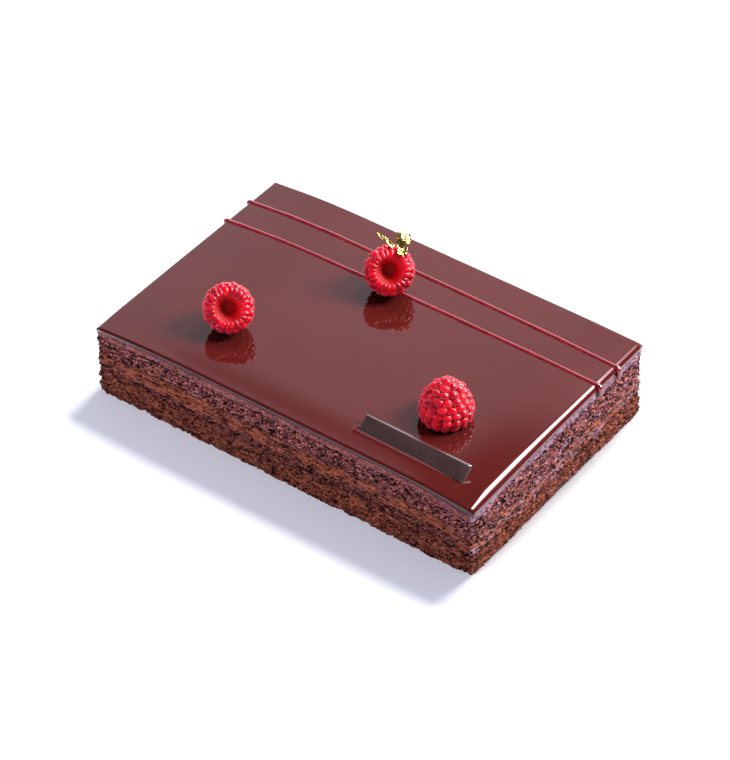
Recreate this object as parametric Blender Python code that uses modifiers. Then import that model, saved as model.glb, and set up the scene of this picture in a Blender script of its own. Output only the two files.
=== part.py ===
"""A rectangular chocolate and raspberry entremet, in metres, +Z up.

Sponge and ganache are stacked in layers, cut straight down on four sides and covered by a mirror glaze
with two piped lines. Three raspberries, a chocolate plaque and two bits of gold leaf lie on top.
X runs along the long side, and the origin is the centre of the underside.
"""

import math

import bmesh
import bpy
from mathutils import Matrix, Vector, noise
from mathutils.geometry import delaunay_2d_cdt

MM = 0.001

# The cake block
LENGTH = 190 * MM
WIDTH = 122.5 * MM
CROWN_TOP = 36.8 * MM  # top of the glaze where it is highest
GAP = 0.3 * MM  # kept between pieces that touch

# The glaze runs down towards the left end and towards three corners
LEFT_FALL = 2.2 * MM
LEFT_FALL_REACH = 50 * MM
CORNER_REACH = (13 * MM, 30 * MM)  # along X and Y
FRONT_RIGHT_FALL = 3.2 * MM
BACK_RIGHT_FALL = 0.9 * MM
BACK_LEFT_FALL = 0.6 * MM

# Where one layer ends and the next begins, from below: (height by the long side, height at the right
# end, how far it follows the glaze's own falls)
JOINTS = {
    "base_sponge": (12.0 * MM, 8.0 * MM, 0.1),
    "lower_sponge": (15.0 * MM, 10.4 * MM, 0.4),
    "middle_ganache": (22.8 * MM, 17.2 * MM, 0.5),
    "upper_sponge": (31.4 * MM, 31.4 * MM, 1.0),
    "top_ganache": (34.2 * MM, 34.2 * MM, 1.0),
}
RIGHT_RAMP = 12 * MM  # the layers dip over this length at the right end
THINNING = 3.0 * MM  # the lower sponge thickens into the ganache near the front right corner
THINNING_REACH = 28 * MM

# The cut sides: stations round the cake and how far crumbs have broken away
LONG_STATIONS = 32
SHORT_STATIONS = 20
CORNER_CUT = 0.5 * MM
CRAG_SIZE = 7 * MM
FINE_CRAG_SIZE = 3.2 * MM
CRAG_FLATNESS = 1.6  # crags are this much longer than they are high
FLARE = 0.6 * MM  # the sponge at the foot of the right side spreads outwards
FLARE_HEIGHT = 12 * MM
AIR_POCKETS = (  # in the right side: (Y, height, how far they reach along and up, depth)
    (-40 * MM, 28.4 * MM, 3.5 * MM, 1.5 * MM, 2.0 * MM),
    (-29 * MM, 29.4 * MM, 2.8 * MM, 1.3 * MM, 1.4 * MM),
    (-36 * MM, 20.0 * MM, 5.0 * MM, 1.3 * MM, 1.2 * MM),
)
INNER_COLUMNS, INNER_ROWS = 8, 5  # points that carry each layer's flat inside
INNER_MARGIN = 12 * MM

# The glaze's rounded edge
GLAZE_EDGE_RADIUS = 1.7 * MM
GLAZE_EDGE_STEPS = 4
GLAZE_UNDERCUT = 0.5 * MM

# The two piped lines
LINE_RADIUS = 0.62 * MM
LINE_SINK = 0.2 * MM
LINE_HANG = 0.7 * MM  # the ends hang this far outside the cut sides
LINE_SHOULDER = 0.35 * MM  # and start to turn down this far inside them
LINE_DROP_LEFT = 2.0 * MM
LINE_DROP_RIGHT = 4.6 * MM
LINE_SPANS = 15
LINES = (  # (Y at the left end, Y at the right end, bow to the back in the middle)
    (27.0 * MM, 28.4 * MM, 0.9 * MM),
    (43.2 * MM, 42.4 * MM, 0.9 * MM),
)

# The plaque leans back, with its lower edge pushed into the glaze
PLAQUE_SIZE = (52.2 * MM, 8.7 * MM, 1.5 * MM)
PLAQUE_FOOT = (57.4 * MM, -51.75 * MM)  # middle of the line where its face meets the glaze
PLAQUE_TURN = math.radians(-1.9)
PLAQUE_LEAN = math.radians(40)
PLAQUE_SUNK = 1.2 * MM  # measured down its face
PLAQUE_BEVEL = 1.0 * MM

# The raspberries: two lie with their hollow facing one way, the third stands on its flat rim
BERRY_AROUND = 16
BERRY_OUTER_ROWS = 7
BERRY_INNER_ROWS = 3
BERRY_TAPER = 1.2  # 1 is egg-shaped, more is pointed
BERRY_TURN = math.radians(144)  # how far the outside rolls over from the tip to an open rim
STANDING_TURN = math.radians(112)
RIM_DEPTH = 0.3  # the rolled part's height, as a share of the height above it
MOUTH = 0.42  # radius of the hollow's mouth, as a share of the berry's
HOLLOW_DEPTH = 0.7
HOLLOW_NARROWING = 0.4
DRUPELET_INSET = 0.42 * MM
DRUPELET_RISE = 0.7 * MM
OPEN_SIDE = math.radians(-54)  # direction that the open berries face, seen from above
OPEN_RISE = math.radians(34)  # and how far up they face
LEFT_BERRY = (-47.9 * MM, -31.1 * MM)
LEFT_SIZE = (10.6 * MM, 14.5 * MM)  # radius, and height from the widest ring to the tip
MIDDLE_BERRY = (-8.6 * MM, 27.2 * MM)
MIDDLE_SIZE = (10.3 * MM, 14.5 * MM)
RIGHT_BERRY = (55.8 * MM, -24.0 * MM)
RIGHT_SIZE = (11.1 * MM, 17.6 * MM)

# Gold leaf on the middle raspberry: (to the side, up and forwards of its middle, width) along each bit
LEAF_THICKNESS = 0.25 * MM
LEAF_TILT = math.radians(41)  # the directions above are tipped back by this
FLAKE = ((4.6, 5.8, 9.9, 3.0), (5.2, 9.2, 7.8, 4.4), (5.4, 12.0, 6.0, 6.6), (5.9, 14.9, 4.6, 5.4))
SLIVER = ((1.2, 9.6, 8.1, 1.8), (-1.7, 12.0, 6.0, 1.7), (-5.6, 15.0, 4.4, 0.5))
FLAKE_RIPPLE = 0.5 * MM
SLIVER_RIPPLE = 0.2 * MM


def colour(red, green, blue):
    """A linear RGBA colour from screen values of 0 to 255."""
    shares = [c / 255 for c in (red, green, blue)]
    return (*(c / 12.92 if c < 0.04 else ((c + 0.055) / 1.055) ** 2.4 for c in shares), 1.0)


def material(name, rgb, roughness, metallic=0.0):
    made = bpy.data.materials.new(name)
    made.use_nodes = True
    shader = made.node_tree.nodes["Principled BSDF"]
    shader.inputs["Base Color"].default_value = colour(*rgb)
    shader.inputs["Roughness"].default_value = roughness
    shader.inputs["Metallic"].default_value = metallic
    made.diffuse_color = colour(*rgb)
    return made


def new_object(name, bm, collection, look=None):
    """Closes a bmesh into a named object with its faces pointing out."""
    bmesh.ops.recalc_face_normals(bm, faces=bm.faces)
    mesh = bpy.data.meshes.new(name)
    bm.to_mesh(mesh)
    bm.free()
    made = bpy.data.objects.new(name, mesh)
    collection.objects.link(made)
    if look:
        mesh.materials.append(look)
    return made


def apply_modifiers(made):
    """Leaves the object with the mesh that its modifiers give, and with no modifiers."""
    bpy.context.view_layer.update()
    evaluated = made.evaluated_get(bpy.context.evaluated_depsgraph_get())
    made.data = bpy.data.meshes.new_from_object(evaluated)
    made.modifiers.clear()


def shade_round(made, angle=40):
    made.data.shade_smooth()
    made.data.set_sharp_from_angle(angle=math.radians(angle))


def bell(distance_x, distance_y, reach_x, reach_y):
    return math.exp(-0.5 * ((distance_x / reach_x) ** 2 + (distance_y / reach_y) ** 2))


def glaze_fall(x, y):
    """How far the glaze's top lies below its highest level here."""
    to_left = max(0.0, LEFT_FALL_REACH - LENGTH / 2 - x) / LEFT_FALL_REACH
    corners = (
        (1, -1, FRONT_RIGHT_FALL),
        (1, 1, BACK_RIGHT_FALL),
        (-1, 1, BACK_LEFT_FALL),
    )
    return LEFT_FALL * to_left**2 + sum(
        fall * bell(x - sx * LENGTH / 2, y - sy * WIDTH / 2, *CORNER_REACH) for sx, sy, fall in corners
    )


def glaze_top(x, y):
    return CROWN_TOP - glaze_fall(x, y)


def joint_height(layer, x, y):
    """The middle of the gap on top of this layer."""
    long_side, right_end, follows = JOINTS[layer]
    ramp = min(max((x - LENGTH / 2 + RIGHT_RAMP) / RIGHT_RAMP, 0.0), 1.0)
    height = long_side + (right_end - long_side) * ramp - follows * glaze_fall(x, y)
    if layer == "lower_sponge":
        height += THINNING * (1 - ramp) * bell(x - LENGTH / 2, y + WIDTH / 2, THINNING_REACH, THINNING_REACH)
    return height


def stations():
    """Points round the cut sides, each with its outward direction, counter-clockwise from front left."""
    half_x, half_y = LENGTH / 2, WIDTH / 2
    sides = (
        (Vector((-half_x, -half_y)), Vector((1, 0)), LENGTH, LONG_STATIONS),
        (Vector((half_x, -half_y)), Vector((0, 1)), WIDTH, SHORT_STATIONS),
        (Vector((half_x, half_y)), Vector((-1, 0)), LENGTH, LONG_STATIONS),
        (Vector((-half_x, half_y)), Vector((0, -1)), WIDTH, SHORT_STATIONS),
    )
    points = []
    for corner, along, length, count in sides:
        out = Vector((along.y, -along.x))
        inner = length - 2 * RIGHT_RAMP
        steps = [RIGHT_RAMP / 2, RIGHT_RAMP]
        steps += [RIGHT_RAMP + inner * k / (count - 4) for k in range(1, count - 3)]
        steps.append(length - RIGHT_RAMP / 2)
        diagonal = (out - along).normalized()
        points.append((corner - diagonal * CORNER_CUT, diagonal))
        points += [(corner + along * step, out) for step in steps]
    return points


def crag(x, y, z, broken):
    """How far the cut side stands out here: crumbs broken away, air pockets and the flared foot."""
    lump = noise.noise(Vector((x, y, CRAG_FLATNESS * z)) / CRAG_SIZE)
    fine = noise.noise(Vector((x + LENGTH, y, CRAG_FLATNESS * z)) / FINE_CRAG_SIZE)
    offset = -broken * (0.5 + 0.55 * lump + 0.35 * fine)
    if x > LENGTH / 2 - CORNER_CUT * 2:
        foot = max(0.0, 1 - z / FLARE_HEIGHT) * max(0.0, y / (WIDTH / 2))
        offset += FLARE * foot
        for along, height, half_length, half_height, depth in AIR_POCKETS:
            offset -= depth * bell(y - along, z - height, half_length, half_height)
    return min(offset, FLARE)


def cap(bm, ring, height_at):
    """Closes a ring of vertices with a sheet that follows height_at over the inside of the cake."""
    first_x, last_x = -LENGTH / 2 + INNER_MARGIN, LENGTH / 2 - RIGHT_RAMP
    first_y, last_y = -WIDTH / 2 + INNER_MARGIN, WIDTH / 2 - INNER_MARGIN
    inner = [
        Vector((
            first_x + (last_x - first_x) * i / (INNER_COLUMNS - 1),
            first_y + (last_y - first_y) * j / (INNER_ROWS - 1),
        ))
        for i in range(INNER_COLUMNS)
        for j in range(INNER_ROWS)
    ]
    flat = [vert.co.xy for vert in ring] + inner
    rim = [(k, (k + 1) % len(ring)) for k in range(len(ring))]
    placed, _, faces, origin, _, _ = delaunay_2d_cdt(flat, rim, [], 1, 1e-9)
    verts = [
        ring[source[0]] if source[0] < len(ring) else bm.verts.new((*point, height_at(*point)))
        for point, source in zip(placed, origin)
    ]
    for face in faces:
        bm.faces.new([verts[k] for k in face])


def stack_of_rings(rings, bottom_at, top_at):
    """A closed block from rings of points, bottom to top, all with the same number of points."""
    bm = bmesh.new()
    made = [[bm.verts.new(point) for point in ring] for ring in rings]
    for lower, upper in zip(made, made[1:]):
        for k in range(len(lower)):
            after = (k + 1) % len(lower)
            bm.faces.new((lower[k], lower[after], upper[after], upper[k]))
    cap(bm, made[0], bottom_at)
    cap(bm, made[-1], top_at)
    return bm


def cut_layer(name, below, rows, broken, look, collection):
    """One layer of the cake from the joint below it to its own joint, with crags on its cut sides."""

    def bottom_at(x, y):
        return joint_height(below, x, y) + GAP / 2 if below else 0.0

    def top_at(x, y):
        return joint_height(name, x, y) - GAP / 2

    rings = []
    for row in range(rows + 1):
        share = row / rows
        ring = []
        for point, out in stations():
            nominal = bottom_at(*point) * (1 - share) + top_at(*point) * share
            place = point + out * crag(*point, nominal, broken)
            ring.append((*place, bottom_at(*place) * (1 - share) + top_at(*place) * share))
        rings.append(ring)
    return new_object(name, stack_of_rings(rings, bottom_at, top_at), collection, look)


def glaze_block(look, collection):
    """The glaze as one sheet with a rounded upper edge, drawn in a little at its lower edge."""

    def bottom_at(x, y):
        return joint_height("top_ganache", x, y) + GAP / 2

    outline = [(-GLAZE_UNDERCUT, 0.0, 0.0), (0.0, 0.3, 0.0)]  # (outwards, share of the side, above it)
    for k in range(GLAZE_EDGE_STEPS + 1):
        angle = math.pi / 2 * k / GLAZE_EDGE_STEPS
        outline.append((GLAZE_EDGE_RADIUS * (math.cos(angle) - 1), 1.0, GLAZE_EDGE_RADIUS * math.sin(angle)))
    rings = []
    for outwards, share, above in outline:
        ring = []
        for point, out in stations():
            place = point + out * outwards
            low, high = bottom_at(*place), glaze_top(*place) - GLAZE_EDGE_RADIUS
            ring.append((*place, low + (high - low) * share + above))
        rings.append(ring)
    return new_object("glaze", stack_of_rings(rings, bottom_at, glaze_top), collection, look)


def piped_line(left_y, right_y, bow, collection):
    """A line piped from one short edge to the other, hanging over both, as a closed mesh."""
    curve = bpy.data.curves.new("piped_line", "CURVE")
    curve.dimensions = "3D"
    curve.bevel_depth = LINE_RADIUS
    curve.bevel_resolution = 2
    curve.use_fill_caps = True

    def over(x, y, out=0.0):
        return (x + out, y, glaze_top(x, y) - LINE_SINK)

    half = LENGTH / 2
    rim = half - GLAZE_EDGE_RADIUS
    left_end = glaze_top(-half, left_y)
    right_end = glaze_top(half, right_y)
    route = [
        (-half - LINE_HANG, left_y, left_end - LINE_DROP_LEFT),
        (-half - LINE_SINK, left_y, left_end - 1.0 * MM),
        (-half + LINE_SHOULDER, left_y, left_end - GAP),
    ]
    for k in range(LINE_SPANS + 1):
        share = k / LINE_SPANS
        y = left_y + (right_y - left_y) * share + bow * math.sin(math.pi * share)
        route.append(over(-rim + 2 * rim * share, y))
    route += [
        (half - LINE_SHOULDER, right_y, right_end - GAP),
        (half + LINE_SINK, right_y, right_end - 1.0 * MM),
        (half + LINE_HANG, right_y, right_end - 2.2 * MM),
        (half + LINE_HANG, right_y - 0.4 * MM, right_end - LINE_DROP_RIGHT),
    ]
    spline = curve.splines.new("POLY")
    spline.points.add(len(route) - 1)
    for point, place in zip(spline.points, route):
        point.co = (*place, 1.0)
    tube = bpy.data.objects.new("piped_line", curve)
    collection.objects.link(tube)
    bpy.context.view_layer.update()
    evaluated = tube.evaluated_get(bpy.context.evaluated_depsgraph_get())
    bm = bmesh.new()
    mesh = bpy.data.meshes.new_from_object(evaluated)
    bm.from_mesh(mesh)
    bmesh.ops.remove_doubles(bm, verts=bm.verts, dist=0.01 * MM)
    bpy.data.objects.remove(tube)
    bpy.data.curves.remove(curve)
    bpy.data.meshes.remove(mesh)
    return new_object("piped_line", bm, collection)


def box(name, size, chamfer, collection, look=None):
    """A box with its upper edges cut back, its centre at its origin."""
    bm = bmesh.new()
    bmesh.ops.create_cube(bm, size=1.0, matrix=Matrix.Diagonal((*size, 1)))
    if chamfer:
        upper = [edge for edge in bm.edges if all(vert.co.z > 0 for vert in edge.verts)]
        bmesh.ops.bevel(bm, geom=upper, offset=chamfer, segments=2, profile=0.5, affect="EDGES")
    return new_object(name, bm, collection, look)


def place_plaque(made):
    """Leans the plaque back about its foot, with its upper face outwards."""
    x, y = PLAQUE_FOOT
    lean = Matrix.Rotation(PLAQUE_TURN, 4, "Z") @ Matrix.Rotation(PLAQUE_LEAN, 4, "X")
    middle = Vector((0, PLAQUE_SIZE[1] / 2 - PLAQUE_SUNK, -PLAQUE_SIZE[2] / 2))
    made.matrix_world = Matrix.Translation((x, y, glaze_top(x, y))) @ lean @ Matrix.Translation(middle)


def boolean(target, operation, tool):
    modifier = target.modifiers.new(operation.lower(), "BOOLEAN")
    modifier.operation = operation
    modifier.solver = "EXACT"
    modifier.object = tool


def berry_profile(radius, height, hollow):
    """(radius, height) of each row from the tip down the outside to the rim, then up the hollow."""
    turn = BERRY_TURN if hollow else STANDING_TURN
    rows = []
    for k in range(BERRY_OUTER_ROWS + 1):
        angle = turn * k / BERRY_OUTER_ROWS
        if angle < math.pi / 2:
            rows.append((radius * math.sin(angle) ** BERRY_TAPER, height * math.cos(angle)))
        else:
            rows.append((radius * math.sin(angle), height * RIM_DEPTH * math.cos(angle)))
    rim, floor = rows[-1]
    mouth = MOUTH * radius if hollow else MOUTH * rim
    narrowing = HOLLOW_NARROWING if hollow else 1.0
    depth = HOLLOW_DEPTH * height if hollow else 0.0
    for k in range(BERRY_INNER_ROWS):
        share = k / BERRY_INNER_ROWS
        rows.append((mouth * (1 - narrowing * share), floor + depth * share))
    rows.append((0.0, floor + depth))
    return rows


def raspberry(name, centre, lift, size, tip, spin, hollow, look, collection):
    """A raspberry whose drupelets are raised cells, its tip pointing along the direction tip."""
    profile = berry_profile(*size, hollow)
    last = len(profile) - 1
    bm = bmesh.new()
    bmesh.ops.create_uvsphere(bm, u_segments=BERRY_AROUND, v_segments=last, radius=1.0)
    row_of = {}
    for vert in bm.verts:
        row = round(math.acos(max(-1.0, min(1.0, vert.co.z))) / math.pi * last)
        angle = math.atan2(vert.co.y, vert.co.x) + math.pi / BERRY_AROUND * (row % 2)
        row_of[vert.index] = row
        wobble = 1 + 0.05 * noise.noise(Vector((math.cos(angle), math.sin(angle), spin + row)))
        reach, up = profile[row]
        vert.co = (reach * wobble * math.cos(angle), reach * wobble * math.sin(angle), up)
    outer = [face for face in bm.faces if max(row_of[vert.index] for vert in face.verts) <= BERRY_OUTER_ROWS]
    bmesh.ops.recalc_face_normals(bm, faces=bm.faces)
    for face in outer:
        rise = DRUPELET_RISE * (1 + 0.4 * noise.noise(face.calc_center_median() * 400 + Vector((0, 0, spin))))
        bmesh.ops.inset_individual(bm, faces=[face], thickness=DRUPELET_INSET, depth=rise)
    turn = Vector((0, 0, 1)).rotation_difference(Vector(tip)).to_matrix().to_4x4()
    bmesh.ops.transform(bm, matrix=turn @ Matrix.Rotation(spin, 4, "Z"), verts=bm.verts)
    low = Vector([min(vert.co[axis] for vert in bm.verts) for axis in range(3)])
    high = Vector([max(vert.co[axis] for vert in bm.verts) for axis in range(3)])
    middle = (low + high) / 2
    foot = glaze_top(*centre) + lift
    moved = Vector((centre[0] - middle.x, centre[1] - middle.y, foot - low.z))
    bmesh.ops.translate(bm, vec=moved, verts=bm.verts)
    made = new_object(name, bm, collection, look)
    shade_round(made)
    return middle + moved


def leaf_bit(name, middle, route, ripple, look, collection):
    """A thin strip of gold leaf along route, crumpled, with both faces split into triangles alike."""
    forward = Vector((math.cos(OPEN_SIDE), math.sin(OPEN_SIDE), 0)) * math.cos(LEAF_TILT)
    forward.z = math.sin(LEAF_TILT)
    side = Vector((-math.sin(OPEN_SIDE), math.cos(OPEN_SIDE), 0))
    rise = forward.cross(side)
    spine = [middle + (side * s + rise * r + forward * f) * MM for s, r, f, _ in route]
    widths = [width * MM for *_, width in route]
    bm = bmesh.new()
    bmesh.ops.create_grid(bm, x_segments=4 * (len(route) - 1), y_segments=3, size=1.0)
    for vert in bm.verts:
        along = (vert.co.x + 1) / 2 * (len(route) - 1)
        across = vert.co.y
        k = min(int(along), len(route) - 2)
        share = along - k
        width = widths[k] * (1 - share) + widths[k + 1] * share
        onward = (spine[k + 1] - spine[k]).normalized()
        sideways = (side - onward * side.dot(onward)).normalized()
        wave = ripple * (math.sin(2.3 * along + 2.1 * across) + 0.6 * math.sin(4.7 * along - 3.0 * across))
        middle_line = spine[k].lerp(spine[k + 1], share)
        vert.co = middle_line + sideways * across * width / 2 + onward.cross(sideways) * wave
    bmesh.ops.triangulate(bm, faces=bm.faces)
    made = new_object(name, bm, collection, look)
    thickness = made.modifiers.new("thickness", "SOLIDIFY")
    thickness.thickness = LEAF_THICKNESS
    thickness.offset = 0.0
    return made


def build():
    for old in list(bpy.data.objects):
        bpy.data.objects.remove(old)
    cake = bpy.data.collections.new("entremet")
    cutters = bpy.data.collections.new("cutters")
    for collection in (cake, cutters):
        bpy.context.scene.collection.children.link(collection)

    sponge = material("cocoa sponge", (82, 46, 44), 0.95)
    crumb = material("brown sponge", (104, 56, 46), 0.95)
    ganache = material("raspberry ganache", (132, 76, 70), 0.6)
    mirror = material("chocolate glaze", (60, 22, 20), 0.08)
    berry_red = material("raspberry", (205, 30, 52), 0.35)
    dark_chocolate = material("dark chocolate", (48, 34, 36), 0.3)
    gold = material("gold leaf", (232, 186, 72), 0.25, 1.0)

    cut_layer("base_sponge", None, 4, 0.8 * MM, crumb, cake)
    cut_layer("lower_sponge", "base_sponge", 1, 0.9 * MM, sponge, cake)
    cut_layer("middle_ganache", "lower_sponge", 2, 0.4 * MM, ganache, cake)
    cut_layer("upper_sponge", "middle_ganache", 3, 0.9 * MM, sponge, cake)
    cut_layer("top_ganache", "upper_sponge", 1, 0.3 * MM, ganache, cake)

    glaze = glaze_block(mirror, cake)
    for left_y, right_y, bow in LINES:
        line = piped_line(left_y, right_y, bow, cutters)
        boolean(glaze, "UNION", line)
        apply_modifiers(glaze)
        bpy.data.objects.remove(line)
    pocket = box("plaque_pocket", [side + 2 * GAP for side in PLAQUE_SIZE], 0, cutters)
    place_plaque(pocket)
    pocket.hide_render = True
    pocket.display_type = "WIRE"
    boolean(glaze, "DIFFERENCE", pocket)
    shade_round(glaze)
    place_plaque(box("plaque", PLAQUE_SIZE, PLAQUE_BEVEL, cake, dark_chocolate))

    berries = (berry_red, cake)
    away = -Vector((math.cos(OPEN_SIDE), math.sin(OPEN_SIDE), math.tan(OPEN_RISE))).normalized()
    upright = Vector((0, 0, 1))
    on_line = GAP + LINE_RADIUS
    raspberry("raspberry_left", LEFT_BERRY, GAP, LEFT_SIZE, away, 0.3, True, *berries)
    middle = raspberry("raspberry_middle", MIDDLE_BERRY, on_line, MIDDLE_SIZE, away, 1.1, True, *berries)
    raspberry("raspberry_right", RIGHT_BERRY, GAP, RIGHT_SIZE, upright, 2.0, False, *berries)
    leaf_bit("gold_flake", middle, FLAKE, FLAKE_RIPPLE, gold, cake)
    leaf_bit("gold_sliver", middle, SLIVER, SLIVER_RIPPLE, gold, cake)


build()
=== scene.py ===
"""A rectangular chocolate and raspberry entremet, dressed over its solids.

The sections follow the cake as it is put together: the layers, the crumbs on them, the mirror glaze, the
piped lines, the plaque, the raspberries, the gold leaf, and last the studio. Lengths are in metres.
"""

import math

import bmesh
import bpy
import numpy as np
from mathutils import Matrix, Vector, noise
from mathutils.bvhtree import BVHTree
from mathutils.geometry import delaunay_2d_cdt


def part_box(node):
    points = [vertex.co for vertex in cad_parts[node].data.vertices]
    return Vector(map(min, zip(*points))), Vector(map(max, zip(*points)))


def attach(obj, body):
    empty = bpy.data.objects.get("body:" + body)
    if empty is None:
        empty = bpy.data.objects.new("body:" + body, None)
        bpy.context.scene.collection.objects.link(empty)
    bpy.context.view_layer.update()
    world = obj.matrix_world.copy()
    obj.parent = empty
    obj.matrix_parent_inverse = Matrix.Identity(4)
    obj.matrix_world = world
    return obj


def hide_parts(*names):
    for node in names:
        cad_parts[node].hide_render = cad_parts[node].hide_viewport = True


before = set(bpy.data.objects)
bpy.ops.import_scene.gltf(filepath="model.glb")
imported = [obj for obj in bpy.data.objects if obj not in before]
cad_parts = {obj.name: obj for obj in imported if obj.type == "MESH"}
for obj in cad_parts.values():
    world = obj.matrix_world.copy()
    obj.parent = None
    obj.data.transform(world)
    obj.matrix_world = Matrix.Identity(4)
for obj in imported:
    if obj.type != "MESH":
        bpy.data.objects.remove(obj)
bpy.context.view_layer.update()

# The block under the glaze is three layers of cocoa sponge soaked with syrup and two of raspberry ganache,
# built up in a frame and trimmed on all four sides with a knife. The knife tears the sponge into crumbs and
# smears the ganache, so each layer is a fine torn skin laid on the sides of its solid.
MM = 0.001
LENGTH, WIDTH = 190 * MM, 122.5 * MM
CORNER_RADIUS = 0.5 * MM
CORNER_STEPS = 4
CORNER_REACH_OUT = 0.15  # keeps the torn corners from rounding off
SIDE_STEP = 0.3 * MM
JOINT_GAP = 0.3 * MM  # between the solids, and closed here
INSIDE = 2.5 * MM  # heights of a layer are read this far inside its cut side
RAY_REACH = 10 * MM  # how far outside the cake the search for the solid's side starts
SMOOTHED_OVER = 11  # steps along the side that even out the solid's flat facets
JOINT_WAVES = (0, 0.5 * MM, 0.5 * MM, 0.55 * MM, 0.4 * MM, 0.12 * MM)
JOINT_WAVE_LENGTH = 6 * MM
INNER_POINTS = (8, 5)
LAYERS = ("base_sponge", "lower_sponge", "middle_ganache", "upper_sponge", "top_ganache")


def side_path():
    """Even steps round the cut sides, counter-clockwise, as places and outward directions."""
    places, outs = [], []
    half = np.array((LENGTH, WIDTH)) / 2 - CORNER_RADIUS
    corners = [half * sign for sign in ((1, -1), (1, 1), (-1, 1), (-1, -1))]
    for turn, corner in enumerate(corners):
        for k in range(CORNER_STEPS + 1):
            angle = math.pi / 2 * (turn - 1 + k / CORNER_STEPS)
            out = np.array((math.cos(angle), math.sin(angle)))
            places.append(corner + CORNER_RADIUS * out)
            outs.append(out * (1 + CORNER_REACH_OUT * math.sin(math.pi * k / CORNER_STEPS)))
        run = corners[(turn + 1) % 4] - corner
        count = round(np.linalg.norm(run) / SIDE_STEP)
        start = places[-1]
        for k in range(1, count):
            places.append(start + run * k / count)
            outs.append(out)
    return np.array(places), np.array(outs)


def even_out(values, window):
    """A running mean along the closed path, which is the last axis."""
    padded = np.concatenate((values[..., -window:], values, values[..., :window]), axis=-1)
    total = sum(np.roll(padded, shift, axis=-1) for shift in range(-window, window + 1))
    return (total / (2 * window + 1))[..., window:-window]


def solid_surface(name):
    """A search tree over a merged copy of a solid's faces."""
    merged = bmesh.new()
    merged.from_mesh(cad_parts[name].data)
    bmesh.ops.remove_doubles(merged, verts=merged.verts, dist=0.001 * MM)
    tree = BVHTree.FromBMesh(merged)
    merged.free()
    return tree


def joint_wave(place, joint):
    """How far the joint between two layers strays from its level line at this place."""
    spot = Vector((place[0], place[1], joint * LENGTH))
    wave = noise.noise(spot / JOINT_WAVE_LENGTH) + 0.6 * noise.noise(spot / JOINT_WAVE_LENGTH * 4)
    return JOINT_WAVES[joint] * wave


def placed(name, data):
    """A new object with this mesh or other data, in the scene."""
    made = bpy.data.objects.new(name, data)
    bpy.context.scene.collection.objects.link(made)
    return made


def mesh_of(name, points, faces):
    mesh = bpy.data.meshes.new(name)
    mesh.from_pydata(points, [], faces)
    return mesh


def closed_mesh(name, rows, lid_points, lid_faces, floor_points):
    """Rows of points round the cake, bottom to top, closed by a floor and a lid, as a new object."""
    around = rows.shape[1]
    points = np.concatenate((rows.reshape(-1, 3), floor_points, lid_points))
    floor_start = len(rows) * around
    lid_start = floor_start + len(lid_points)
    top = floor_start - around
    faces = []
    for row in range(len(rows) - 1):
        for k in range(around):
            low, after = row * around + k, row * around + (k + 1) % around
            faces.append((low, after, after + around, low + around))
    for a, b, c in lid_faces:
        faces.append([top + k if k < around else lid_start + k - around for k in (a, b, c)])
        faces.append([k if k < around else floor_start + k - around for k in (c, b, a)])
    return placed(name, mesh_of(name, points, faces))


side_places, side_outs = side_path()
inner_x = np.linspace(-0.4, 0.4, INNER_POINTS[0]) * LENGTH
inner_y = np.linspace(-0.36, 0.36, INNER_POINTS[1]) * WIDTH
inner_places = np.array([(x, y) for x in inner_x for y in inner_y])
rim = [(k, (k + 1) % len(side_places)) for k in range(len(side_places))]
flat = [Vector(place) for place in np.concatenate((side_places, inner_places))]
lid_faces = delaunay_2d_cdt(flat, rim, [], 1, 1e-9)[2]


def layer_skin(name, index):
    """The layer's torn side before it is torn: a fine grid that lies on the solid's side."""
    surface = solid_surface(name)
    down, up = Vector((0, 0, -1)), Vector((0, 0, 1))

    def level(places, towards):
        return np.array([surface.ray_cast(Vector((*place, -towards.z)), towards)[0].z for place in places])

    within = np.array((LENGTH, WIDTH)) / 2 - INSIDE
    inside = np.clip(side_places, -within, within)
    solid_low, solid_high = level(inside, up), level(inside, down)
    low, high = even_out(solid_low, SMOOTHED_OVER), even_out(solid_high, SMOOTHED_OVER)
    if index:
        low = low - JOINT_GAP / 2 + [joint_wave(place, index) for place in side_places]
    high = high + JOINT_GAP / 2 + [joint_wave(place, index + 1) for place in side_places]
    count = max(4, round((high - low).mean() / SIDE_STEP))
    rows = np.zeros((count + 1, len(side_places), 3))
    standing = np.zeros((count + 1, len(side_places)))
    for row in range(count + 1):
        heights = low + (high - low) * row / count
        safe = np.clip(heights, solid_low + JOINT_GAP / 2, solid_high - JOINT_GAP / 2)
        for k, (place, out) in enumerate(zip(side_places, side_outs)):
            start = Vector((*(place + out * RAY_REACH), safe[k]))
            hit = surface.ray_cast(start, Vector((*-out, 0)), 2 * RAY_REACH)
            standing[row, k] = RAY_REACH - hit[3] if hit[0] else 0.0
        rows[row, :, 2] = heights
    standing = even_out(standing, SMOOTHED_OVER)
    rows[:, :, :2] = side_places + side_outs * standing[:, :, None]
    lid = np.column_stack((inner_places, level(inner_places, down) + JOINT_GAP / 2))
    floor = np.column_stack((inner_places, level(inner_places, up) - (JOINT_GAP / 2 if index else 0)))
    made = closed_mesh(name + "_skin", rows, lid, lid_faces, floor)
    on_side = standing.size
    out = np.zeros((len(made.data.vertices), 3), np.float32)
    out[:on_side, :2] = np.tile(side_outs, (len(rows), 1))
    share = np.zeros(len(out), np.float32)
    share[:on_side] = np.repeat(np.arange(count + 1) / count, len(side_places))
    made.data.attributes.new("out", "FLOAT_VECTOR", "POINT").data.foreach_set("vector", out.ravel())
    made.data.attributes.new("share", "FLOAT", "POINT").data.foreach_set("value", share)
    return made


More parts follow.
